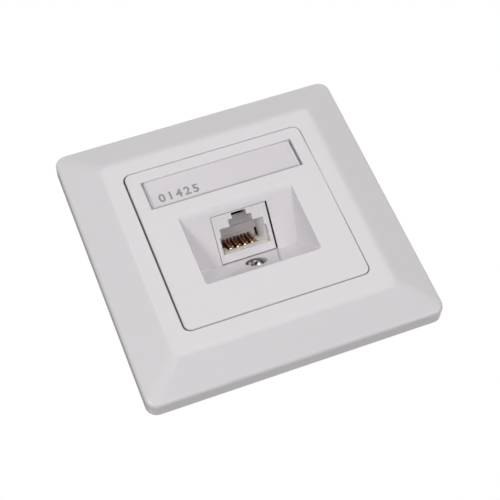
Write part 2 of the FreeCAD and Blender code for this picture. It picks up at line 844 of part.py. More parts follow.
def make_idc_block(side):
    middle = side * idc_block_x
    end = board_bottom - idc_block_height
    across = idc_block_back + idc_block_length / 2
    block_depth = (idc_block_back, idc_block_back + idc_block_length)
    block = box(around(middle, idc_block_width / 2), (end, board_bottom), block_depth)
    slot_half = idc_wire_slot / 2
    mouth = slot_half + idc_mouth_chamfer
    blade_top = end + idc_blade_inset + idc_blade_length
    blade_gap = both(idc_blade_thickness / 2 + idc_blade_clearance)
    for x in blade_places():
        if x * side < 0:
            continue
        wire = rounded_path([
            (x - mouth, end - 0.01, 0),
            (x + mouth, end - 0.01, 0),
            (x + slot_half, end + 2 * idc_mouth_chamfer, 0),
            (x + slot_half, end + idc_wire_depth, 0),
            (x - slot_half, end + idc_wire_depth, 0),
            (x - slot_half, end + 2 * idc_mouth_chamfer, 0),
        ], lambda point: Vector(point.x, point.y, idc_block_back - 1))
        block = block.cut(Part.Face(wire).extrude(Vector(0, 0, idc_block_length + 2)))
        pocket_width = idc_blade_width / 2 + idc_blade_clearance
        pocket = box(both(pocket_width), (end - 1, blade_top), blade_gap)
        block = block.cut(about_upright(pocket, x, across, idc_blade_turn))
        tail_half = idc_tail_width / 2 + idc_blade_clearance
        tail = box(both(tail_half), (blade_top - 1, board_bottom + 1), blade_gap)
        block = block.cut(about_upright(tail, x, across, idc_blade_turn))
    return block


def make_idc_blade(x):
    end = board_bottom - idc_block_height
    low = end + idc_blade_inset
    top = low + idc_blade_length
    thick = both(idc_blade_thickness / 2)
    across = idc_block_back + idc_block_length / 2
    blade = box(both(idc_blade_width / 2), (low, top), thick)
    blade = blade.fuse(box(both(idc_tail_width / 2), (top - 1, board_top + idc_tail_out), thick))
    slit = idc_slit_width / 2
    throat = low + idc_slit_width * 2
    wire = rounded_path([
        (-slit * 4, low - 0.01, 0),
        (slit * 4, low - 0.01, 0),
        (slit, throat, 0),
        (slit, low + idc_slit_depth, 0),
        (-slit, low + idc_slit_depth, 0),
        (-slit, throat, 0),
    ], lambda point: Vector(point.x, point.y, -1))
    blade = blade.cut(Part.Face(wire).extrude(Vector(0, 0, 2)))
    return about_upright(blade, x, across, idc_blade_turn)


os.makedirs("parts", exist_ok=True)
label_lean = math.degrees(math.atan(ridge_rise / (plate_size / 2 - ridge_y)))
on_label = Placement(Vector(0, label_y, plate_front(label_y)), Rotation(x_axis, -label_lean))
plate_place = Placement(Vector(plate_shift, 0, 0), Rotation())
cover_back = Placement(Vector(0, 0, -label_cover_thickness), Rotation())
card_front = Placement(Vector(0, 0, -label_cover_thickness - label_card_clearance), Rotation())
cover_place = plate_place.multiply(on_label).multiply(cover_back)
card_place = plate_place.multiply(on_label).multiply(card_front)
screw_place = Placement(Vector(0, screw_y, screw_seat_z), Rotation())

save("cover_frame", make_cover_frame())
save("central_plate", make_central_plate(), plate_place)
save("label_card", make_label_card(), card_place)
save("label_cover", make_label_cover(), cover_place)
save("plate_screw", make_plate_screw(), screw_place)
save("threaded_insert", make_threaded_insert())
save("support_plate", make_support_plate())
save("carrier_rivets", make_carrier_rivets())
save("jack_carrier", make_jack_carrier())
save("circuit_board", make_circuit_board(), on_face)
save("jack_housing", make_jack_housing(), on_face)
save("contact_insert", make_contact_insert(), on_face)
for contact_index in range(contact_count):
    save("contact_" + str(contact_index + 1), make_contact(contact_index), on_face)
save("idc_block_left", make_idc_block(-1), on_face)
save("idc_block_right", make_idc_block(1), on_face)
for blade_index, blade_x in enumerate(blade_places()):
    save("idc_blade_" + str(blade_index + 1), make_idc_blade(blade_x), on_face)
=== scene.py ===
import bpy
import math
from mathutils import Matrix, Vector


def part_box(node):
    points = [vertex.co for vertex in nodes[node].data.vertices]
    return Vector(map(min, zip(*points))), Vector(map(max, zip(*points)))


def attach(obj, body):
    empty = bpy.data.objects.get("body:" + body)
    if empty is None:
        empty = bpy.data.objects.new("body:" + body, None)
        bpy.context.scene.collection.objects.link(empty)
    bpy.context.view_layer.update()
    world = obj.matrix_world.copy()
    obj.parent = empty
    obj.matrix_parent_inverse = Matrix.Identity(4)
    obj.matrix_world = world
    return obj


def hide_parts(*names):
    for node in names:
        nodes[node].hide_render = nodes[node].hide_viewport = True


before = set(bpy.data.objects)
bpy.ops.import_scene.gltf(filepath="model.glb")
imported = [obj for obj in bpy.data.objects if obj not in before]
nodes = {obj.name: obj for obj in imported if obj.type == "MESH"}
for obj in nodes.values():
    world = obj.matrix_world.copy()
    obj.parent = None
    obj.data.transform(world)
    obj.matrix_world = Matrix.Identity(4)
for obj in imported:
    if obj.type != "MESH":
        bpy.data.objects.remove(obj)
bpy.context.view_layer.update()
MM = 0.001
quarter = math.pi / 2

wire_count = 8
contacts = [f"contact_{n + 1}" for n in range(wire_count)]
blades = [f"idc_blade_{n + 1}" for n in range(wire_count)]

# The slanted face that carries the socket and its board
face_tilt = 44.0
face_up = -4.0
face_out = -1.85
jack_x = 0.34
board_turn = math.radians(90.0 + face_tilt)
board_top = 0.02
board_under = -1.58

# The central plate's screw, from its seat outwards
screw_low, screw_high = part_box("plate_screw")
head_radius = (screw_high.x - screw_low.x) / 2 / MM
head_height = 1.9
head_crown = 0.5
head_edge = 0.22
crown_rings = 7
screw_up = (screw_low.z + screw_high.z) / 2 / MM
screw_seat = -screw_low.y / MM - head_height
screw_length = screw_high.y / MM + screw_seat
thread_radius = 1.5
thread_depth = 0.3
thread_base = 0.42
thread_pitch = 0.5
thread_turns = 14
thread_steps = 28
shank_radius = 1.22
point_length = 0.4
point_taper = 0.6
recess_length = 3.6
recess_width = 0.95
recess_depth = 1.3
recess_taper = (0.5, 0.75, 1.0)
recess_turn = math.radians(62.0)

# The rivets of the cradle
rivet_low, rivet_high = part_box("carrier_rivets")
rivet_radius = 1.5
rivet_head_radius = 2.4
rivet_head_height = 0.7
rivet_rim = 0.3
rivet_edge = rivet_rim * 0.3
rivet_rings = 6
rivet_grip = (rivet_high.y - rivet_low.y) / MM - 2 * rivet_head_height
rivet_middle = -(rivet_high.y + rivet_low.y) / 2 / MM
rivet_x = rivet_high.x / MM - rivet_head_radius
rivet_up = rivet_high.z / MM - rivet_head_radius

# The soldered tails on the board and the tracks between them
joint_radius = 0.75
joint_height = 0.62
joint_sink = 0.1
joint_rings = 5
joint_taper = 0.74
contact_pitch = 1.016
tail_front = -13.2
tail_step = 1.6
terminal_x = 9.0
terminal_count = 4
terminal_pitch = 3.9
blade_out = -19.8
track_pitch = contact_pitch
track_gap = 0.66
track_step = 1.4
track_jog = -15.6
track_front = -9.6
track_back = -19.2

# The bars at both ends of the well in the contact insert
well_half = 4.246
well_end = 0.9
well_play = 0.02
well_front = -4.0
insert_top = 2.5
bar_foot = 0.7
bar_edge = 0.12
left_bar_back = -8.0
right_bar_back = -10.9

# The label: its own axes lie on the leaning top of the central plate
label_turn = math.radians(90.0 - 2.108)
label_middle = (0.2, 16.72, 8.705)
label_foot = -4.505
card_front = -0.46
card_thickness = 0.25
card_edge = card_thickness / 4
card_foot = -4.405
card_height = 9.1
tab_start = 0.4
tab_left = 1.1
tab_right = 1.2
tab_short = 0.4
tab_drop = 1.3
tab_bend = 0.4
number_text = "01425"
number_spot = (-12.8, -1.77)
number_size = 3.6
number_spacing = 1.3
number_weight = 0.1
number_ink = 0.012

# Painted shade on the central plate's outer walls down in the gap: two distances in from the edge, then two
# heights out of the wall
gap_shade_inner = 0.5
gap_shade_outer = 0.3
gap_shade_full = 7.5
gap_shade_start = 8.05

# Painted brown shade and painted light in the contact insert, in the axes of the slanted face
well_shade_full_up = 2.9
well_shade_end_up = 4.3
well_shade_full_out = -4.6
well_shade_end_out = -4.1
well_shade_half = 4.2
well_shade_soft = 0.1
insert_glow_level = 0.4
insert_glow_across = (3.6, 4.4)
insert_glow_out = (-11.0, -8.0)

# Painted light: a glow on the inner wall to the right of the port, in the same axes
port_glow_inside = (6.05, 6.1)
port_glow_outside = (6.15, 6.2)
port_glow_out = (-11.0, -4.5)

# The gold on the contacts, along the slanted face's way out
plating_back = -6.4
plating_front = -5.3
plating_drift = 0.8
plating_shine = 0.12
bronze_gloss = 0.3

# The screw's head: painted shade round the rim, dull patches and a painted highlight
screw_scale = 700.0
rim_shade_start = 1.8
rim_shade_full = 2.2
rim_shade_drift = 1.6
patch_scale = 1100.0
patch_detail = 1.0
patch_range = (0.46, 0.58)
highlight_spot = (1.05, 0.3)
highlight_radius = 0.6
highlight_core = 0.4

# The board's lacquer
lacquer_scale = 180.0
lacquer_polish_scale = 700.0
lacquer_peel_scale = 1500.0
lacquer_peel = 0.1
track_rise = 0.00003
track_strength = 0.6

# Painted shade at the foot and ends of the label's clear cover
edge_shade_end = (0.3, 0.1)
edge_shade_end_share = 0.8
edge_shade_foot = (0.25, 0.4)
clear_alpha = 0.06
edge_shade_alpha = 0.18
clear_gloss = 0.07
edge_shade_gloss = 0.3
clear_texture = 0.000002

# Surface patterns: scales are spots to the metre, depths are metres
flow_scale = 60.0
polish_scale = 900.0
texture_scale = 2600.0
texture_strength = 0.35
grain_fineness = 4.0
grain_depth = 0.000004
grain_strength = 0.3
plain_detail = 2.0
fine_detail = 3.0
even = (1.0, 1.0, 1.0)
plastic_ior = 1.5

# Tests of faces and edges: how squarely a face looks one way, how level an edge is and how far out on a rim
facing = 0.9
level_play = 0.001
rim_share = 0.99

# The camera in front of the outlet, in degrees and millimetres, with its clipping in metres
camera_bearing = -23.343
camera_height = 57.662
camera_roll = 2.578
camera_distance = 350.13
camera_target = (0.655, -3.18, 0.0)
camera_lens = 95.4
camera_sensor = 36.0
camera_near = 0.01
camera_far = 50.0

# The studio in metres. A panel has a left, right, low and high edge, a side of the wall and a glow
in_front = -1
behind = 1
surround_level = 0.18
panel_distance = 0.75
soft_panels = {
    "front_panel": (-0.15, 0.45, -0.15, 0.75, in_front, 1.45),
    "left_panel": (-0.75, -0.45, -0.75, 0.15, in_front, 4.82),
    "low_panel": (-0.15, 0.75, -0.75, -0.45, in_front, 2.2),
    "back_panel": (-0.45, 0.45, -0.7, 0.2, behind, 0.16),
}
floor_height = -0.9
floor_size = 40.0
floor_mirrored = 0.6
studio_mottle = 2.0
grey_card_place = (-0.18, 0.8, 0.48)
grey_card_size = (0.5, 0.75, 1.0)


def wall(x, up, out):
    """A place on the outlet in metres, from millimetres to the right, up the wall and out of it."""
    return Vector((x, -out, up)) * MM


def on_face(x, up, out):
    """A place in metres in the axes of the slanted face: across it, up it and out of it."""
    tilt = math.radians(face_tilt)
    rise = up * math.sin(tilt) + out * math.cos(tilt)
    climb = up * math.cos(tilt) - out * math.sin(tilt)
    return wall(jack_x + x, face_up + climb, face_out + rise)


face_origin = on_face(0.0, 0.0, 0.0)
label_origin = wall(*label_middle)
screw_origin = wall(0.0, screw_up, screw_seat)


class Value:
    """A shader socket that takes part in Python sums."""

    def __init__(self, owner, socket):
        self.owner = owner
        self.socket = socket

    def work(self, operation, first, second):
        return self.owner.add("ShaderNodeMath", {"operation": operation}, {0: first, 1: second})

    def __add__(self, other):
        return self.work("ADD", self, other)

    def __radd__(self, other):
        return self.work("ADD", other, self)

    def __sub__(self, other):
        return self.work("SUBTRACT", self, other)

    def __rsub__(self, other):
        return self.work("SUBTRACT", other, self)

    def __mul__(self, other):
        return self.work("MULTIPLY", self, other)

    def __rmul__(self, other):
        return self.work("MULTIPLY", other, self)

    def over(self, level):
        return self.work("GREATER_THAN", self, level)

    def least(self, level):
        return self.work("MINIMUM", self, level)

    def most(self, level):
        return self.work("MAXIMUM", self, level)

    def zigzag(self, reach):
        return self.work("PINGPONG", self, reach)

    def size(self):
        return self.work("ABSOLUTE", self, 0.0)


class Nodes:
    """The shader nodes of a material or of the world."""

    def __init__(self, tree):
        self.tree = tree

    def add(self, kind, settings, sockets, output=0):
        """Adds one node: its settings first, then the values or links of its sockets."""
        node = self.tree.nodes.new(kind)
        for name, value in settings.items():
            setattr(node, name, value)
        for name, value in sockets.items():
            if isinstance(value, Value):
                self.tree.links.new(value.socket, node.inputs[name])
            else:
                node.inputs[name].default_value = value
        return Value(self, node.outputs[output])

    def in_sight(self, mirrored):
        """1 to the camera, a share of it in mirrors and through clear plastic, and 0 to all other rays."""
        seen, glossy, through = (self.add("ShaderNodeLightPath", {}, {}, f"Is {ray} Ray")
                                 for ray in ("Camera", "Glossy", "Transmission"))
        return seen.most(glossy.most(through) * mirrored)


class Finish(Nodes):
    """One procedural material on the principled shader."""

    def __init__(self, name, **constants):
        self.material = bpy.data.materials.new(name)
        self.material.use_nodes = True
        super().__init__(self.material.node_tree)
        self.shader = self.tree.nodes["Principled BSDF"]
        for socket, value in constants.items():
            self.shader.inputs[socket].default_value = value

    def drive(self, socket, value):
        self.tree.links.new(value.socket, self.shader.inputs[socket])

    def axes(self, turn, origin):
        """Millimetres across, up and out, in axes that are turned about X and start at an origin."""
        spot = self.add("ShaderNodeTexCoord", {}, {}, "Object")
        shift = Matrix.Rotation(-turn, 3, "X") @ origin / -MM
        scale = (1.0 / MM,) * 3
        sockets = {"Vector": spot, "Location": shift, "Rotation": (-turn, 0.0, 0.0), "Scale": scale}
        place = self.add("ShaderNodeMapping", {}, sockets)
        first = self.add("ShaderNodeSeparateXYZ", {}, {"Vector": place})
        return [Value(self, socket) for socket in first.socket.node.outputs]

    def ramp(self, value, low, high):
        """0 up to the low end, 1 from the high end on."""
        return self.add("ShaderNodeMapRange", {}, {"Value": value, "From Min": low, "From Max": high})

    def fade(self, value, low, high):
        """1 up to the low end, 0 from the high end on."""
        return 1.0 - self.ramp(value, low, high)

    def noise(self, scale, detail=plain_detail, stretch=even):
        spot = self.add("ShaderNodeTexCoord", {}, {}, "Object")
        place = self.add("ShaderNodeMapping", {}, {"Vector": spot, "Scale": stretch})
        sockets = {"Vector": place, "Scale": scale, "Detail": detail}
        return self.add("ShaderNodeTexNoise", {}, sockets, "Fac")

    def blend(self, factor, first, second):
        """A mix of two colours, each given as red, green and blue or as an earlier mix."""
        first, second = (end if isinstance(end, Value) else (*end, 1.0) for end in (first, second))
        return self.add("ShaderNodeMix", {"data_type": "RGBA"}, {0: factor, 6: first, 7: second}, 2)

    def polish(self, gloss, swing, drift):
        """Roughness that swings about its middle value."""
        self.drive("Roughness", gloss + swing * (drift - 0.5))

    def relief(self, height, depth, strength):
        sockets = {"Height": height, "Distance": depth, "Strength": strength}
        self.drive("Normal", self.add("ShaderNodeBump", {}, sockets))

    def glow(self, amount, colour):
        """Light of the surface's own, as bright as the colour where the amount is 1."""
        self.drive("Emission Color", self.blend(amount, (0.0, 0.0, 0.0), colour))
        self.shader.inputs["Emission Strength"].default_value = 1.0

    def dress(self, *names):
        for name in names:
            mesh = nodes[name].data
            mesh.materials.clear()
            mesh.materials.append(self.material)


def moulded(name, colour, shade, gloss, swing, texture):
    """Moulded plastic: faint flow marks in the colour, uneven polish and a fine tool texture."""
    finish = Finish(name, IOR=plastic_ior)
    finish.tone = finish.blend(finish.noise(flow_scale, fine_detail), colour, shade)
    finish.drive("Base Color", finish.tone)
    finish.polish(gloss, swing, finish.noise(polish_scale))
    finish.relief(finish.noise(texture_scale), texture, texture_strength)
    return finish


def metal(name, colour, shade, gloss, swing, scale, stretch=even):
    """Bare or plated metal: colour and polish drift together, with a fine drawn grain."""
    finish = Finish(name, Metallic=1.0)
    drift = finish.noise(scale, fine_detail, stretch)
    finish.drive("Base Color", finish.blend(drift, colour, shade))
    finish.polish(gloss, swing, drift)
    finish.relief(finish.noise(scale * grain_fineness, plain_detail, stretch), grain_depth, grain_strength)
    return finish


def white_moulding(name):
    """The bright white plastic of the frame and the central plate."""
    return moulded(name, (0.802, 0.770, 0.794), (0.794, 0.762, 0.786),
                   gloss=0.17, swing=0.06, texture=0.000006)


def plate_moulding():
    """The frame's white on the central plate, with painted shade on its outer walls down in the gap to the
    frame.
    """
    finish = white_moulding("plate_moulding")
    across, up, out = finish.axes(quarter, Vector((0.0, 0.0, 0.0)))
    low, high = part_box("central_plate")
    half = (high.x - low.x) / 2 / MM
    aside = (across - (low.x + high.x) / 2 / MM).size()
    above = (up - (low.z + high.z) / 2 / MM).size()
    # Painted shade: the plate's outer walls turn dark grey deep in the gap
    outer = finish.ramp(aside.most(above), half - gap_shade_inner, half - gap_shade_outer)
    deep = finish.fade(out, gap_shade_full, gap_shade_start)
    finish.drive("Base Color", finish.blend(outer * deep, finish.tone, (0.12, 0.115, 0.115)))
    return finish


def socket_moulding():
    """White plastic of the socket, with painted light: a glow on the inner wall to the right of the port.
    """
    finish = moulded("socket_moulding", (0.80, 0.775, 0.79), (0.785, 0.76, 0.775),
                     gloss=0.26, swing=0.08, texture=0.000008)
    across, _, out = finish.axes(board_turn, face_origin)
    # Painted light: the wall beside the port glows, though no lamp is there
    port_glow = finish.ramp(across, *port_glow_inside) * finish.fade(across, *port_glow_outside)
    finish.glow(port_glow * finish.ramp(out, *port_glow_out), (0.115, 0.11, 0.11))
    return finish


def insert_moulding():
    """Ivory plastic of the contact insert, with painted brown shade down in the well under the contacts and
    painted light (a glow) further back.
    """
    finish = moulded("insert_moulding", (0.85, 0.815, 0.765), (0.83, 0.795, 0.74),
                     gloss=0.34, swing=0.08, texture=0.000008)
    across, up, out = finish.axes(board_turn, face_origin)
    # Painted shade: the well under the contacts is coloured dark brown
    low = finish.fade(up, well_shade_full_up, well_shade_end_up)
    back = finish.fade(out, well_shade_full_out, well_shade_end_out)
    between = finish.fade(across.size(), well_shade_half, well_shade_half + well_shade_soft)
    well_shaded = low * back * between
    drift = finish.noise(flow_scale, fine_detail)
    well_shade_colour = finish.blend(drift, (0.15, 0.065, 0.03), (0.20, 0.09, 0.04))
    finish.drive("Base Color", finish.blend(well_shaded, finish.tone, well_shade_colour))
    # Painted light: a glow on the insert behind the well, brightest towards the right
    insert_glow = insert_glow_level + (1.0 - insert_glow_level) * finish.ramp(across, *insert_glow_across)
    finish.glow(insert_glow * finish.ramp(out, *insert_glow_out) * low * (1.0 - well_shaded), (0.125, 0.115, 0.10))
    return finish


def board_lacquer():
    """Green lacquer over copper: raised tracks run from the socket's tails back to the terminals."""
    finish = Finish("board_lacquer", IOR=plastic_ior)
    across, _, out = finish.axes(board_turn, face_origin)
    jog = (out - track_jog).most(-track_step).least(track_step)
    track = (across + jog).zigzag(track_pitch / 2).over(track_gap / 2)
    copper = (track * out.over(track_back)).most(out.over(track_front))
    tone = finish.noise(lacquer_scale, fine_detail)
    bare = finish.blend(tone, (0.014, 0.085, 0.034), (0.018, 0.10, 0.042))
    covered = finish.blend(tone, (0.03, 0.17, 0.07), (0.036, 0.19, 0.08))
    finish.drive("Base Color", finish.blend(copper, bare, covered))
    finish.polish(gloss=0.29, swing=0.1, drift=finish.noise(lacquer_polish_scale))
    height = copper + lacquer_peel * finish.noise(lacquer_peel_scale)
    finish.relief(height, track_rise, track_strength)
    return finish


def spring_bronze():
    """Spring bronze wire, gold plated towards the front bend, where a plug touches it; the bronze behind is
    made dark, partly its own colour and partly painted shade.
    """
    finish = Finish("gilt_wire", Metallic=1.0)
    _, _, out = finish.axes(board_turn, face_origin)
    drift = finish.noise(polish_scale, fine_detail)
    plated = finish.ramp(out + plating_drift * (drift - 0.5), plating_back, plating_front)
    # Painted shade in part: the bronze behind the plating is darker than bare bronze
    shaded_bronze = finish.blend(drift, (0.50, 0.20, 0.07), (0.30, 0.10, 0.035))
    gold = finish.blend(drift, (0.98, 0.83, 0.60), (0.86, 0.60, 0.32))
    finish.drive("Base Color", finish.blend(plated, shaded_bronze, gold))
    finish.polish(gloss=bronze_gloss - plating_shine * plated, swing=0.1, drift=drift)
    finish.relief(finish.noise(polish_scale * grain_fineness), grain_depth, grain_strength)
    return finish


def screw_plating():
    """Plated steel, dull on the crown, with painted shade round the rim and a painted highlight on the
    crown.
    """
    finish = Finish("screw_plating", Metallic=1.0)
    across, up, _ = finish.axes(quarter, screw_origin)
    drift = finish.noise(screw_scale, fine_detail)
    middle = across * across + up * up
    # Painted shade: the head darkens towards its rim, beside the hole's wall
    rim = finish.ramp(middle + rim_shade_drift * (drift - 0.5), rim_shade_start ** 2, rim_shade_full ** 2)
    patches = finish.ramp(finish.noise(patch_scale, patch_detail), *patch_range)
    dull = finish.blend(patches, (0.46, 0.445, 0.435), (0.13, 0.123, 0.12))
    # Painted highlight: a bright spot to the right of the head's middle
    aside = across - highlight_spot[0]
    above = up - highlight_spot[1]
    painted_highlight = finish.fade(aside * aside + above * above, highlight_core * highlight_radius ** 2, highlight_radius ** 2)
    patched_and_highlit = finish.blend(painted_highlight, dull, (0.95, 0.94, 0.93))
    rim_shade_colour = finish.blend(drift, (0.10, 0.092, 0.088), (0.16, 0.148, 0.14))
    finish.drive("Base Color", finish.blend(rim, patched_and_highlit, rim_shade_colour))
    finish.polish(gloss=0.36, swing=0.1, drift=drift)
    finish.relief(finish.noise(screw_scale * grain_fineness), grain_depth, grain_strength)
    return finish


def clear_window():
    """Clear moulding over the label, with painted shade at its foot and ends, which are also rougher and
    less clear.
    """
    finish = Finish("clear_moulding", IOR=plastic_ior)
    across, up, _ = finish.axes(label_turn, label_origin)
    low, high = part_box("label_cover")
    half = (high.x - low.x) / 2 / MM
    middle = (high.x + low.x) / 2 / MM - label_middle[0]
    # Painted shade: the cover's foot and ends turn dark grey
    end = finish.ramp((across - middle).size(), half - edge_shade_end[0], half - edge_shade_end[1])
    foot = finish.fade(up, label_foot + edge_shade_foot[0], label_foot + edge_shade_foot[1])
    edge_shade = foot.most(edge_shade_end_share * end)
    face = finish.blend(finish.noise(flow_scale, fine_detail), (0.88, 0.85, 0.875), (0.86, 0.83, 0.855))
    finish.drive("Base Color", finish.blend(edge_shade, face, (0.16, 0.155, 0.16)))
    finish.drive("Alpha", clear_alpha + edge_shade_alpha * edge_shade)
    finish.polish(gloss=clear_gloss + edge_shade_gloss * edge_shade, swing=0.02, drift=finish.noise(polish_scale))
    finish.relief(finish.noise(texture_scale), clear_texture, texture_strength)
    return finish


white = white_moulding("white_moulding")
white.dress("cover_frame")
plate_white = plate_moulding()
plate_white.dress("central_plate")
socket_white = socket_moulding()
socket_white.dress("jack_housing")
insert_ivory = insert_moulding()
insert_ivory.dress("contact_insert")
carrier_black = moulded("carrier_moulding", (0.022, 0.022, 0.024), (0.028, 0.028, 0.03),
                        gloss=0.42, swing=0.10, texture=0.00001)
carrier_black.dress("jack_carrier")
terminal_white = moulded("terminal_moulding", (0.74, 0.735, 0.71), (0.71, 0.705, 0.68),
                         gloss=0.36, swing=0.08, texture=0.000008)
terminal_white.dress("idc_block_left", "idc_block_right")
paper = moulded("label_paper", (0.84, 0.805, 0.83), (0.82, 0.785, 0.81),
                gloss=0.75, swing=0.1, texture=0.00001)
ink = moulded("label_ink", (0.27, 0.26, 0.265), (0.33, 0.32, 0.325),
              gloss=0.6, swing=0.1, texture=0.000004)
clear = clear_window()
clear.dress("label_cover")
zinc = metal("zinc_plating", (0.66, 0.67, 0.69), (0.54, 0.55, 0.57), gloss=0.36, swing=0.16, scale=220.0)
zinc.dress("support_plate")
nickel = screw_plating()
brass = metal("turned_brass", (0.80, 0.60, 0.30), (0.70, 0.50, 0.24),
              gloss=0.28, swing=0.1, scale=500.0, stretch=(1.0, 6.0, 1.0))
brass.dress("threaded_insert")
gilt = spring_bronze()
gilt.dress(*contacts)
tinned = metal("tinned_blade", (0.74, 0.74, 0.73), (0.64, 0.64, 0.63), gloss=0.32, swing=0.12, scale=800.0)
tinned.dress(*blades)
solder = metal("solder", (0.72, 0.72, 0.71), (0.60, 0.60, 0.60), gloss=0.26, swing=0.12, scale=1400.0)
laminate = board_lacquer()
laminate.dress("circuit_board")


def put_down():
    """Leaves edit mode with nothing selected."""
    if bpy.context.mode != "OBJECT":
        bpy.ops.object.mode_set(mode="OBJECT")
    bpy.ops.object.select_all(action="DESELECT")


def take_up(piece):
    """Makes one piece the selected and active one."""
    put_down()
    piece.select_set(True)
    bpy.context.view_layer.objects.active = piece


def begin(add, **settings):
    """Adds one primitive by itself, ready to be shaped in millimetres and in its own axes."""
    put_down()
    add(**settings)
    bpy.ops.object.transform_apply()
    return bpy.context.object


def pick(piece, faces=None, edges=None):
    """Opens a piece for shaping, with the faces or edges selected that pass a test."""
    bpy.ops.object.mode_set(mode="EDIT")
    bpy.ops.mesh.select_mode(type="FACE" if faces else "EDGE")
    bpy.ops.mesh.select_all(action="DESELECT")
    bpy.ops.object.mode_set(mode="OBJECT")
    spots = [vertex.co for vertex in piece.data.vertices]
    if faces:
        for face in piece.data.polygons:
            face.select = faces(face)
    else:
        for edge in piece.data.edges:
            edge.select = edges(*(spots[end] for end in edge.vertices))
    bpy.ops.object.mode_set(mode="EDIT")


def front_face(face):
    return face.normal.z > facing


def back_face(face):
    return face.normal.z < -facing


def rim_of(radius):
    """A test for the level edges that lie on the outer circle of a round piece."""
    def level_edge(first, second):
        outer = min(first.xy.length, second.xy.length) > radius * rim_share
        return outer and abs(first.z - second.z) < level_play
    return level_edge


def every_edge(first, second):
    return True


def pull(*step):
    """Extrudes the picked faces by a step along X, Y and Z."""
    bpy.ops.mesh.extrude_region_move(TRANSFORM_OT_translate={"value": step})


def stretch_picked(*shares, about=(0.0, 0.0, 0.0)):
    """Scales what is picked along X, Y and Z about a point."""
    bpy.ops.transform.resize(value=shares, center_override=about)


def crown(radius, rise, steps):
    """Raises the picked round face into a shallow dome, ring by ring."""
    for ring in range(1, steps):
        before = 1.0 - (ring - 1) / steps
        after = 1.0 - ring / steps
        bpy.ops.mesh.inset(thickness=radius / steps)
        bpy.ops.transform.translate(value=(0.0, 0.0, rise * (before ** 2 - after ** 2)))


def settle(piece, name, finish, turn, spot):
    """Takes a shaped piece to its place on the outlet, closes its mesh and gives it its finish."""
    take_up(piece)
    bpy.ops.object.mode_set(mode="EDIT")
    bpy.ops.mesh.select_all(action="SELECT")
    bpy.ops.mesh.remove_doubles(threshold=0.0005)
    bpy.ops.mesh.normals_make_consistent(inside=False)
    bpy.ops.object.mode_set(mode="OBJECT")
    bpy.ops.object.shade_smooth_by_angle(angle=math.radians(30.0))
    piece.matrix_world = Matrix.Translation(spot) @ Matrix.Rotation(turn, 4, "X") @ Matrix.Scale(MM, 4)
    bpy.ops.object.transform_apply()
    piece.name = name
    piece.data.name = name
    piece.data.materials.clear()
    piece.data.materials.append(finish.material)
    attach(piece, "root")
    return piece


def copy_of(piece):
    """A copy of a shaped piece with its own mesh."""
    take_up(piece)
    bpy.ops.object.duplicate(linked=False)
    return bpy.context.object


def carve(piece, cutter):
    """Cuts one shape out of another and clears the cutter away."""
    take_up(piece)
    cut = piece.modifiers.new("cut", "BOOLEAN")
    cut.object = cutter
    bpy.ops.object.modifier_apply(modifier=cut.name)
    bpy.data.objects.remove(cutter)


def screw_thread():
    """A V ridge wound up the shank, closed at both ends."""
    ridge = begin(bpy.ops.mesh.primitive_circle_add, vertices=3, radius=1.0, fill_type="NOTHING",
                  rotation=(-quarter, -quarter, 0.0))
    pick(ridge, edges=every_edge)
    triangle_depth = 1.5
    triangle_base = math.sqrt(3.0)
    reach = thread_depth / triangle_depth
    stretch_picked(reach, 1.0, thread_base / triangle_base)
    bpy.ops.transform.translate(value=(thread_radius - reach, 0.0, thread_pitch - screw_length))
    bpy.ops.object.mode_set(mode="OBJECT")
    winding = ridge.modifiers.new("winding", "SCREW")
    winding.axis = "Z"
    winding.screw_offset = thread_pitch
    winding.iterations = thread_turns
    winding.steps = thread_steps
    winding.render_steps = thread_steps
    bpy.ops.object.modifier_apply(modifier=winding.name)
    pick(ridge, edges=every_edge)
    bpy.ops.mesh.fill_holes(sides=3)
    bpy.ops.object.mode_set(mode="OBJECT")
    return ridge


def recess_cutter(turn):
    """One arm of the cross recess, narrower and shorter towards its floor."""
    cutter = begin(bpy.ops.mesh.primitive_cube_add, size=1.0,
                   scale=(recess_length, recess_width, recess_depth * 2))
    pick(cutter, faces=back_face)
    stretch_picked(*recess_taper)
    bpy.ops.object.mode_set(mode="OBJECT")
    cutter.location.z = head_height
    cutter.rotation_euler.z = turn
    return cutter


def make_plate_screw():
    """The screw that holds the central plate: domed head, cross recess, threaded shank."""
    rim = head_height - head_crown
    screw = begin(bpy.ops.mesh.primitive_cylinder_add, vertices=72, radius=head_radius, depth=rim,
                  location=(0.0, 0.0, rim / 2))
    pick(screw, faces=front_face)
    crown(head_radius, head_crown, crown_rings)
    pick(screw, faces=back_face)
    bpy.ops.mesh.inset(thickness=head_radius - shank_radius)
    pull(0.0, 0.0, point_length - screw_length)
    pull(0.0, 0.0, -point_length)
    stretch_picked(point_taper, point_taper, 1.0, about=(0.0, 0.0, -screw_length))
    pick(screw, edges=rim_of(head_radius))
    bpy.ops.mesh.bevel(offset=head_edge, segments=3)
    for turn in (recess_turn, recess_turn + quarter):
        carve(screw, recess_cutter(turn))
    thread = screw_thread()
    take_up(screw)
    thread.select_set(True)
    bpy.ops.object.join()
    settle(screw, "plate_screw_turned", nickel, quarter, screw_origin)
    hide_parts("plate_screw")


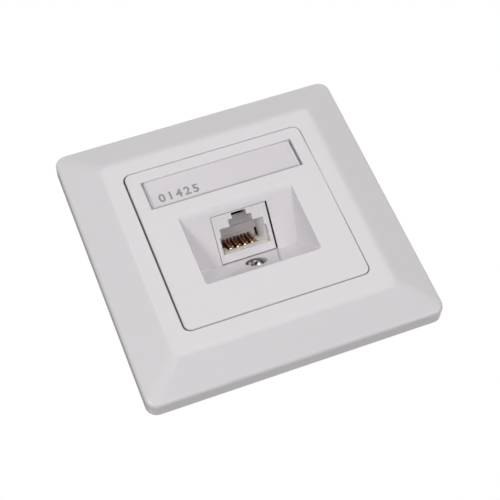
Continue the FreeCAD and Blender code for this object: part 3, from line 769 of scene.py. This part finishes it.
def make_rivets():
    """Four rivets that hold the cradle to the steel plate, each with a flat-domed head on both sides."""
    rivet = begin(bpy.ops.mesh.primitive_cylinder_add, vertices=40, radius=rivet_radius, depth=rivet_grip)
    spread = rivet_head_radius / rivet_radius
    for face, side in ((front_face, 1.0), (back_face, -1.0)):
        pick(rivet, faces=face)
        pull(0.0, 0.0, 0.0)
        stretch_picked(spread, spread, 1.0)
        pull(0.0, 0.0, side * rivet_rim)
        crown(rivet_head_radius, side * (rivet_head_height - rivet_rim), rivet_rings)
    pick(rivet, edges=rim_of(rivet_head_radius))
    bpy.ops.mesh.bevel(offset=rivet_edge, segments=2)
    for number, (x, up) in enumerate(((-1, -1), (-1, 1), (1, -1), (1, 1)), 1):
        spot = wall(x * rivet_x, up * rivet_up, rivet_middle)
        piece = settle(copy_of(rivet), f"cradle_rivet_{number}", zinc, quarter, spot)
        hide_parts("carrier_rivets")
    bpy.data.objects.remove(rivet)


def make_solder_joints():
    """Small hollow-sided solder cones round the tails of the contacts and the terminal blades."""
    cone = begin(bpy.ops.mesh.primitive_cylinder_add, vertices=20, radius=joint_radius, depth=joint_sink,
                 location=(0.0, 0.0, -joint_sink / 2))
    pick(cone, faces=front_face)
    for ring in range(joint_rings):
        pull(0.0, 0.0, joint_height / joint_rings)
        stretch_picked(joint_taper, joint_taper, 1.0)
    for number in range(wire_count):
        x = (number - (wire_count - 1) / 2) * contact_pitch
        out = tail_front - number % 2 * tail_step
        settle(copy_of(cone), f"contact_solder_{number + 1}", solder, board_turn + quarter,
               on_face(x, board_under, out))
    for number in range(wire_count):
        block, place = divmod(number, terminal_count)
        x = (block * 2 - 1) * terminal_x + (place - (terminal_count - 1) / 2) * terminal_pitch
        settle(copy_of(cone), f"blade_solder_{number + 1}", solder, board_turn - quarter,
               on_face(x, board_top, blade_out))
    bpy.data.objects.remove(cone)


def make_well_ends():
    """Two ivory bars that close the insert's well beside the outermost contacts."""
    inner = well_half + well_play
    outer = well_half + well_end - well_play
    front = well_front - well_play
    for name, side, back in (("left", -1.0, left_bar_back), ("right", 1.0, right_bar_back)):
        middle = (side * (inner + outer) / 2, (insert_top + bar_foot) / 2, (front + back) / 2)
        bar = begin(bpy.ops.mesh.primitive_cube_add, size=1.0, location=middle,
                    scale=(outer - inner, insert_top - bar_foot, front - back))
        pick(bar, edges=every_edge)
        bpy.ops.mesh.bevel(offset=bar_edge, segments=2)
        settle(bar, f"well_bar_{name}", insert_ivory, board_turn, face_origin)


def make_label_card():
    """The paper card behind the clear cover, its two ends bent down into the lift slots."""
    low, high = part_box("label_card")
    half = (high.x - low.x) / 2 / MM - tab_start
    middle = (high.x + low.x) / 2 / MM - label_middle[0]
    spot = (middle - tab_short / 2, card_foot + card_height / 2, card_front - card_thickness / 2)
    card = begin(bpy.ops.mesh.primitive_cube_add, size=1.0, location=spot,
                 scale=(2 * half - tab_short, card_height, card_thickness))
    for side, reach in ((-1.0, tab_left), (1.0, tab_right)):
        pick(card, faces=lambda face: face.normal.x * side > facing)
        for share in (tab_bend, 1.0 - tab_bend):
            pull(side * reach * share, 0.0, -tab_drop / 2)
    pick(card, edges=lambda first, second: abs(first.x - second.x) < level_play)
    bpy.ops.mesh.bevel(offset=card_edge, segments=2)
    settle(card, "label_card_tucked", paper, label_turn, label_origin)
    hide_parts("label_card")


def make_label_number():
    """A plain outlet number printed on the card."""
    put_down()
    bpy.ops.object.text_add(location=(*number_spot, card_front))
    number = bpy.context.object
    number.data.body = number_text
    number.data.size = number_size
    number.data.space_character = number_spacing
    number.data.offset = number_weight
    number.data.extrude = number_ink
    number.data.align_x = "CENTER"
    number.data.align_y = "CENTER"
    bpy.ops.object.convert(target="MESH")
    bpy.ops.object.transform_apply()
    settle(number, "label_number", ink, label_turn, label_origin)


def light_the_studio():
    """A pale surrounding, three soft panels standing in front of the outlet and one behind it."""
    world = bpy.data.worlds.new("studio")
    bpy.context.scene.world = world
    world.use_nodes = True
    surround = Nodes(world.node_tree)
    back = surround.tree.nodes["Background"]
    back.inputs["Color"].default_value = (1.0, 1.0, 1.0, 1.0)
    strength = surround_level + (1.0 - surround_level) * surround.in_sight(1.0)
    surround.tree.links.new(strength.socket, back.inputs["Strength"])
    for name, (left, right, low, high, side, glow) in soft_panels.items():
        data = bpy.data.lights.new(name, "AREA")
        data.shape = "RECTANGLE"
        data.size = right - left
        data.size_y = high - low
        data.energy = glow * math.pi * data.size * data.size_y
        lamp = bpy.data.objects.new(name, data)
        lamp.location = ((left + right) / 2, side * panel_distance, (low + high) / 2)
        lamp.rotation_euler = (-side * quarter, 0.0, 0.0)
        bpy.context.scene.collection.objects.link(lamp)


def lay_the_floor():
    """A plain pale floor well below the outlet."""
    put_down()
    bpy.ops.mesh.primitive_plane_add(size=floor_size, location=(0.0, 0.0, floor_height))
    floor = bpy.context.object
    floor.name = "floor"
    matt = Finish("floor_paint", Roughness=0.8)
    matt.drive("Base Color", matt.blend(matt.noise(studio_mottle), (0.86, 0.86, 0.86), (0.84, 0.84, 0.84)))
    matt.glow(matt.in_sight(floor_mirrored), (0.62, 0.62, 0.62))
    floor.data.materials.append(matt.material)


def hang_the_card():
    """A grey card behind the outlet, which the frame's left side mirrors in place of the white."""
    card = begin(bpy.ops.mesh.primitive_plane_add, size=1.0, location=grey_card_place,
                 rotation=(quarter, 0.0, 0.0), scale=grey_card_size)
    card.name = "grey_card"
    grey = Finish("card_paint", Roughness=0.9)
    grey.drive("Base Color", grey.blend(grey.noise(studio_mottle), (0.72, 0.72, 0.72), (0.70, 0.70, 0.70)))
    card.data.materials.append(grey.material)
    card.visible_camera = False


def aim_the_camera():
    """The camera at the photograph's place, by its bearing, height and roll in front of the outlet."""
    bearing = math.radians(camera_bearing)
    height = math.radians(camera_height)
    roll = math.radians(camera_roll)
    ahead = Vector((math.sin(bearing), -math.cos(bearing), 0.0))
    back = ahead * math.cos(height) + Vector((0.0, 0.0, math.sin(height)))
    level = Vector((math.cos(bearing), math.sin(bearing), 0.0))
    upright = back.cross(level)
    right = level * math.cos(roll) + upright * math.sin(roll)
    up = upright * math.cos(roll) - level * math.sin(roll)
    spot = Vector(camera_target) + back * camera_distance
    data = bpy.data.cameras.new("camera")
    data.sensor_width = camera_sensor
    data.lens = camera_lens
    data.clip_start = camera_near
    data.clip_end = camera_far
    camera = bpy.data.objects.new("camera", data)
    bpy.context.scene.collection.objects.link(camera)
    axes = Matrix([wall(*axis) / MM for axis in (right, up, back)]).transposed()
    camera.matrix_world = Matrix.Translation(wall(*spot)) @ axes.to_4x4()
    bpy.context.scene.camera = camera


make_plate_screw()
make_rivets()
make_solder_joints()
make_well_ends()
make_label_card()
make_label_number()
light_the_studio()
lay_the_floor()
hang_the_card()
aim_the_camera()
bpy.context.scene.view_settings.view_transform = "Standard"
